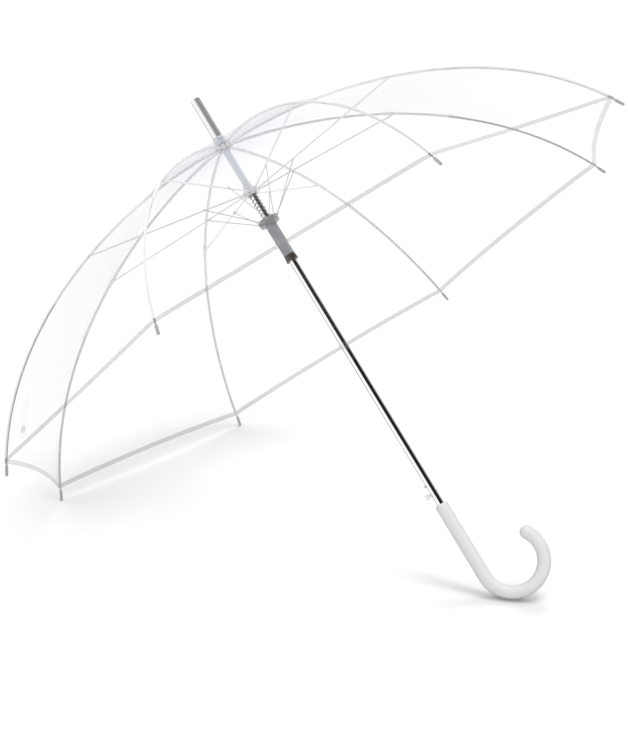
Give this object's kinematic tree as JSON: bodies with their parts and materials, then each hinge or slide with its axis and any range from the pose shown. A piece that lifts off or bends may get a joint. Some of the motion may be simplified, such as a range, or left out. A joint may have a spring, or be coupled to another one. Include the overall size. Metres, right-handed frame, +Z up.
{
  "type": "straight umbrella",
  "caption": "Clear dome umbrella with a self-opening ribbed frame, film canopy, chrome shaft and white hooked handle, standing open on the ground.",
  "frame": {"origin": "middle of the bounding box's base, as the open umbrella rests on two rib tips and the bend of its handle", "axes": "+Z up from the ground, +X level from the canopy towards the handle, +Y level across the canopy; the shaft leans 44.3 degrees from upright in the XZ plane"},
  "size_m": [0.7171, 0.9264, 0.6739],
  "materials": {
    "chrome_tube": "polished",
    "rib_steel": "dark plated",
    "rod_steel": "plated",
    "spring_steel": "bright drawn wire",
    "white_plastic": "satin moulded",
    "clear_plastic": "translucent moulded",
    "grey_plastic": "satin moulded",
    "tip_plastic": "moulded",
    "film": "clear glossy film"
  },
  "bodies": {
    "frame": {"shaft": "chrome_tube", "stop_pin": "rod_steel", "ferrule": "chrome_tube", "apex_collar": "clear_plastic", "apex_washer": "clear_plastic", "crown_notch": "clear_plastic", "crown_wire": "rod_steel", "canopy": "film", "handle": "white_plastic"},
    "upper_hub": {"upper_hub": "clear_plastic", "upper_hub_wire": "rod_steel"},
    "runner": {"runner_hub": "clear_plastic", "runner_wire": "rod_steel", "runner_sleeve": "grey_plastic", "sleeve_end": "grey_plastic", "opening_spring": "spring_steel"},
    "release": {"release_button": "clear_plastic", "catch_spring": "spring_steel"},
    "rib_inner_1": {"rib_inner_1": "rib_steel"},
    "rib_outer_1": {"rib_outer_1": "rib_steel", "rib_tip_1": "tip_plastic"},
    "stretcher_1": {"stretcher_1": "rod_steel"},
    "strut_1": {"strut_1": "rod_steel"},
    "rib_inner_2": {"rib_inner_2": "rib_steel"},
    "rib_outer_2": {"rib_outer_2": "rib_steel", "rib_tip_2": "tip_plastic"},
    "stretcher_2": {"stretcher_2": "rod_steel"},
    "strut_2": {"strut_2": "rod_steel"},
    "rib_inner_3": {"rib_inner_3": "rib_steel"},
    "rib_outer_3": {"rib_outer_3": "rib_steel", "rib_tip_3": "tip_plastic"},
    "stretcher_3": {"stretcher_3": "rod_steel"},
    "strut_3": {"strut_3": "rod_steel"},
    "rib_inner_4": {"rib_inner_4": "rib_steel"},
    "rib_outer_4": {"rib_outer_4": "rib_steel", "rib_tip_4": "tip_plastic"},
    "stretcher_4": {"stretcher_4": "rod_steel"},
    "strut_4": {"strut_4": "rod_steel"},
    "rib_inner_5": {"rib_inner_5": "rib_steel"},
    "rib_outer_5": {"rib_outer_5": "rib_steel", "rib_tip_5": "tip_plastic"},
    "stretcher_5": {"stretcher_5": "rod_steel"},
    "strut_5": {"strut_5": "rod_steel"},
    "rib_inner_6": {"rib_inner_6": "rib_steel"},
    "rib_outer_6": {"rib_outer_6": "rib_steel", "rib_tip_6": "tip_plastic", "closure_strap": "film", "strap_snap": "clear_plastic"},
    "stretcher_6": {"stretcher_6": "rod_steel"},
    "strut_6": {"strut_6": "rod_steel"},
    "rib_inner_7": {"rib_inner_7": "rib_steel"},
    "rib_outer_7": {"rib_outer_7": "rib_steel", "rib_tip_7": "tip_plastic"},
    "stretcher_7": {"stretcher_7": "rod_steel"},
    "strut_7": {"strut_7": "rod_steel"},
    "rib_inner_8": {"rib_inner_8": "rib_steel"},
    "rib_outer_8": {"rib_outer_8": "rib_steel", "rib_tip_8": "tip_plastic"},
    "stretcher_8": {"stretcher_8": "rod_steel"},
    "strut_8": {"strut_8": "rod_steel"}
  },
  "joints": [
    {"name": "runner_slide", "type": "slide", "parent": "frame", "child": "runner", "axis": [-0.6986, 0, 0.7155], "range_m": [-0.3883, 0]},
    {"name": "hub_slide", "type": "slide", "parent": "frame", "child": "upper_hub", "axis": [-0.6986, 0, 0.7155], "range_m": [-0.4205, 0], "deforming": ["opening_spring"]},
    {"name": "rib_hinge_1", "type": "hinge", "parent": "frame", "child": "rib_inner_1", "pos_m": [-0.19029, 0.00306, 0.52516], "axis": [0.2738, -0.9239, 0.2674], "range_deg": [-71.83, 0], "deforming": ["canopy"]},
    {"name": "rib_flex_1", "type": "hinge", "parent": "rib_inner_1", "child": "rib_outer_1", "pos_m": [0.08808, 0.12493, 0.6612], "axis": [0.2738, -0.9239, 0.2674], "range_deg": [0, 27.73]},
    {"name": "stretcher_hinge_1", "type": "hinge", "parent": "upper_hub", "child": "stretcher_1", "pos_m": [-0.13836, 0.00608, 0.47174], "axis": [0.2738, -0.9239, 0.2674], "range_deg": [0, 81.96]},
    {"name": "strut_hinge_1", "type": "hinge", "parent": "runner", "child": "strut_1", "pos_m": [-0.10381, 0.0093, 0.43909], "axis": [0.2738, -0.9239, 0.2674], "range_deg": [0, 49.52]},
    {"name": "rib_hinge_2", "type": "hinge", "parent": "frame", "child": "rib_inner_2", "pos_m": [-0.19339, 0.00739, 0.52214], "axis": [0.661, -0.3827, 0.6455], "range_deg": [-71.83, 0]},
    {"name": "rib_flex_2", "type": "hinge", "parent": "rib_inner_2", "child": "rib_outer_2", "pos_m": [-0.03832, 0.3016, 0.53777], "axis": [0.661, -0.3827, 0.6455], "range_deg": [0, 27.73]},
    {"name": "stretcher_hinge_2", "type": "hinge", "parent": "upper_hub", "child": "stretcher_2", "pos_m": [-0.14295, 0.00941, 0.46726], "axis": [0.661, -0.3827, 0.6455], "range_deg": [0, 81.96]},
    {"name": "strut_hinge_2", "type": "hinge", "parent": "runner", "child": "strut_2", "pos_m": [-0.11043, 0.01304, 0.43262], "axis": [0.661, -0.3827, 0.6455], "range_deg": [0, 49.52]},
    {"name": "rib_hinge_3", "type": "hinge", "parent": "frame", "child": "rib_inner_3", "pos_m": [-0.19777, 0.00739, 0.51786], "axis": [0.661, 0.3827, 0.6455], "range_deg": [-71.83, 0]},
    {"name": "rib_flex_3", "type": "hinge", "parent": "rib_inner_3", "child": "rib_outer_3", "pos_m": [-0.21709, 0.3016, 0.36321], "axis": [0.661, 0.3827, 0.6455], "range_deg": [0, 27.73]},
    {"name": "stretcher_hinge_3", "type": "hinge", "parent": "upper_hub", "child": "stretcher_3", "pos_m": [-0.14788, 0.00722, 0.46245], "axis": [0.661, 0.3827, 0.6455], "range_deg": [0, 81.96]},
    {"name": "strut_hinge_3", "type": "hinge", "parent": "runner", "child": "strut_3", "pos_m": [-0.117, 0.00913, 0.42621], "axis": [0.661, 0.3827, 0.6455], "range_deg": [0, 49.52]},
    {"name": "rib_hinge_4", "type": "hinge", "parent": "frame", "child": "rib_inner_4", "pos_m": [-0.20086, 0.00306, 0.51483], "axis": [0.2738, 0.9239, 0.2674], "range_deg": [-71.83, 0]},
    {"name": "rib_flex_4", "type": "hinge", "parent": "rib_inner_4", "child": "rib_outer_4", "pos_m": [-0.34349, 0.12493, 0.23978], "axis": [0.2738, 0.9239, 0.2674], "range_deg": [0, 27.73]},
    {"name": "stretcher_hinge_4", "type": "hinge", "parent": "upper_hub", "child": "stretcher_4", "pos_m": [-0.15026, 0.00081, 0.46012], "axis": [0.2738, 0.9239, 0.2674], "range_deg": [0, 81.96]},
    {"name": "strut_hinge_4", "type": "hinge", "parent": "runner", "child": "strut_4", "pos_m": [-0.11967, -0.00012, 0.4236], "axis": [0.2738, 0.9239, 0.2674], "range_deg": [0, 49.52]},
    {"name": "rib_hinge_5", "type": "hinge", "parent": "frame", "child": "rib_inner_5", "pos_m": [-0.20086, -0.00306, 0.51483], "axis": [-0.2738, 0.9239, -0.2674], "range_deg": [-71.83, 0]},
    {"name": "rib_flex_5", "type": "hinge", "parent": "rib_inner_5", "child": "rib_outer_5", "pos_m": [-0.34349, -0.12493, 0.23978], "axis": [-0.2738, 0.9239, -0.2674], "range_deg": [0, 27.73]},
    {"name": "stretcher_hinge_5", "type": "hinge", "parent": "upper_hub", "child": "stretcher_5", "pos_m": [-0.1487, -0.00608, 0.46165], "axis": [-0.2738, 0.9239, -0.2674], "range_deg": [0, 81.96]},
    {"name": "strut_hinge_5", "type": "hinge", "parent": "runner", "child": "strut_5", "pos_m": [-0.11688, -0.0093, 0.42633], "axis": [-0.2738, 0.9239, -0.2674], "range_deg": [0, 49.52]},
    {"name": "rib_hinge_6", "type": "hinge", "parent": "frame", "child": "rib_inner_6", "pos_m": [-0.19777, -0.00739, 0.51786], "axis": [-0.661, 0.3827, -0.6455], "range_deg": [-71.83, 0]},
    {"name": "rib_flex_6", "type": "hinge", "parent": "rib_inner_6", "child": "rib_outer_6", "pos_m": [-0.21709, -0.3016, 0.36321], "axis": [-0.661, 0.3827, -0.6455], "range_deg": [0, 27.73], "deforming": ["closure_strap", "strap_snap"]},
    {"name": "stretcher_hinge_6", "type": "hinge", "parent": "upper_hub", "child": "stretcher_6", "pos_m": [-0.14411, -0.00941, 0.46613], "axis": [-0.661, 0.3827, -0.6455], "range_deg": [0, 81.96]},
    {"name": "strut_hinge_6", "type": "hinge", "parent": "runner", "child": "strut_6", "pos_m": [-0.11026, -0.01304, 0.43279], "axis": [-0.661, 0.3827, -0.6455], "range_deg": [0, 49.52]},
    {"name": "rib_hinge_7", "type": "hinge", "parent": "frame", "child": "rib_inner_7", "pos_m": [-0.19339, -0.00739, 0.52214], "axis": [-0.661, -0.3827, -0.6455], "range_deg": [-71.83, 0]},
    {"name": "rib_flex_7", "type": "hinge", "parent": "rib_inner_7", "child": "rib_outer_7", "pos_m": [-0.03832, -0.3016, 0.53777], "axis": [-0.661, -0.3827, -0.6455], "range_deg": [0, 27.73]},
    {"name": "stretcher_hinge_7", "type": "hinge", "parent": "upper_hub", "child": "stretcher_7", "pos_m": [-0.13918, -0.00722, 0.47094], "axis": [-0.661, -0.3827, -0.6455], "range_deg": [0, 81.96]},
    {"name": "strut_hinge_7", "type": "hinge", "parent": "runner", "child": "strut_7", "pos_m": [-0.10369, -0.00913, 0.43921], "axis": [-0.661, -0.3827, -0.6455], "range_deg": [0, 49.52]},
    {"name": "rib_hinge_8", "type": "hinge", "parent": "frame", "child": "rib_inner_8", "pos_m": [-0.19029, -0.00306, 0.52516], "axis": [-0.2738, -0.9239, -0.2674], "range_deg": [-71.83, 0]},
    {"name": "rib_flex_8", "type": "hinge", "parent": "rib_inner_8", "child": "rib_outer_8", "pos_m": [0.08808, -0.12493, 0.6612], "axis": [-0.2738, -0.9239, -0.2674], "range_deg": [0, 27.73]},
    {"name": "stretcher_hinge_8", "type": "hinge", "parent": "upper_hub", "child": "stretcher_8", "pos_m": [-0.1368, -0.00081, 0.47326], "axis": [-0.2738, -0.9239, -0.2674], "range_deg": [0, 81.96]},
    {"name": "strut_hinge_8", "type": "hinge", "parent": "runner", "child": "strut_8", "pos_m": [-0.10101, 0.00012, 0.44182], "axis": [-0.2738, -0.9239, -0.2674], "range_deg": [0, 49.52]},
    {"name": "release_press", "type": "slide", "parent": "frame", "child": "release", "axis": [0.5059, 0.7071, 0.494], "range_m": [0, 0.0016], "stiffness_N_per_m": 700, "springref_m": -0.0015}
  ],
  "couplings": [
    {"joint": "hub_slide", "follows": "runner_slide", "ratio": 1.0829},
    {"joint": "rib_hinge_1", "follows": "runner_slide", "rad_per_m": 3.2286},
    {"joint": "rib_flex_1", "follows": "runner_slide", "rad_per_m": -1.2463},
    {"joint": "stretcher_hinge_1", "follows": "runner_slide", "rad_per_m": -3.6838},
    {"joint": "strut_hinge_1", "follows": "runner_slide", "rad_per_m": -2.2259},
    {"joint": "rib_hinge_2", "follows": "runner_slide", "rad_per_m": 3.2286},
    {"joint": "rib_flex_2", "follows": "runner_slide", "rad_per_m": -1.2463},
    {"joint": "stretcher_hinge_2", "follows": "runner_slide", "rad_per_m": -3.6838},
    {"joint": "strut_hinge_2", "follows": "runner_slide", "rad_per_m": -2.2259},
    {"joint": "rib_hinge_3", "follows": "runner_slide", "rad_per_m": 3.2286},
    {"joint": "rib_flex_3", "follows": "runner_slide", "rad_per_m": -1.2463},
    {"joint": "stretcher_hinge_3", "follows": "runner_slide", "rad_per_m": -3.6838},
    {"joint": "strut_hinge_3", "follows": "runner_slide", "rad_per_m": -2.2259},
    {"joint": "rib_hinge_4", "follows": "runner_slide", "rad_per_m": 3.2286},
    {"joint": "rib_flex_4", "follows": "runner_slide", "rad_per_m": -1.2463},
    {"joint": "stretcher_hinge_4", "follows": "runner_slide", "rad_per_m": -3.6838},
    {"joint": "strut_hinge_4", "follows": "runner_slide", "rad_per_m": -2.2259},
    {"joint": "rib_hinge_5", "follows": "runner_slide", "rad_per_m": 3.2286},
    {"joint": "rib_flex_5", "follows": "runner_slide", "rad_per_m": -1.2463},
    {"joint": "stretcher_hinge_5", "follows": "runner_slide", "rad_per_m": -3.6838},
    {"joint": "strut_hinge_5", "follows": "runner_slide", "rad_per_m": -2.2259},
    {"joint": "rib_hinge_6", "follows": "runner_slide", "rad_per_m": 3.2286},
    {"joint": "rib_flex_6", "follows": "runner_slide", "rad_per_m": -1.2463},
    {"joint": "stretcher_hinge_6", "follows": "runner_slide", "rad_per_m": -3.6838},
    {"joint": "strut_hinge_6", "follows": "runner_slide", "rad_per_m": -2.2259},
    {"joint": "rib_hinge_7", "follows": "runner_slide", "rad_per_m": 3.2286},
    {"joint": "rib_flex_7", "follows": "runner_slide", "rad_per_m": -1.2463},
    {"joint": "stretcher_hinge_7", "follows": "runner_slide", "rad_per_m": -3.6838},
    {"joint": "strut_hinge_7", "follows": "runner_slide", "rad_per_m": -2.2259},
    {"joint": "rib_hinge_8", "follows": "runner_slide", "rad_per_m": 3.2286},
    {"joint": "rib_flex_8", "follows": "runner_slide", "rad_per_m": -1.2463},
    {"joint": "stretcher_hinge_8", "follows": "runner_slide", "rad_per_m": -3.6838},
    {"joint": "strut_hinge_8", "follows": "runner_slide", "rad_per_m": -2.2259}
  ]
}
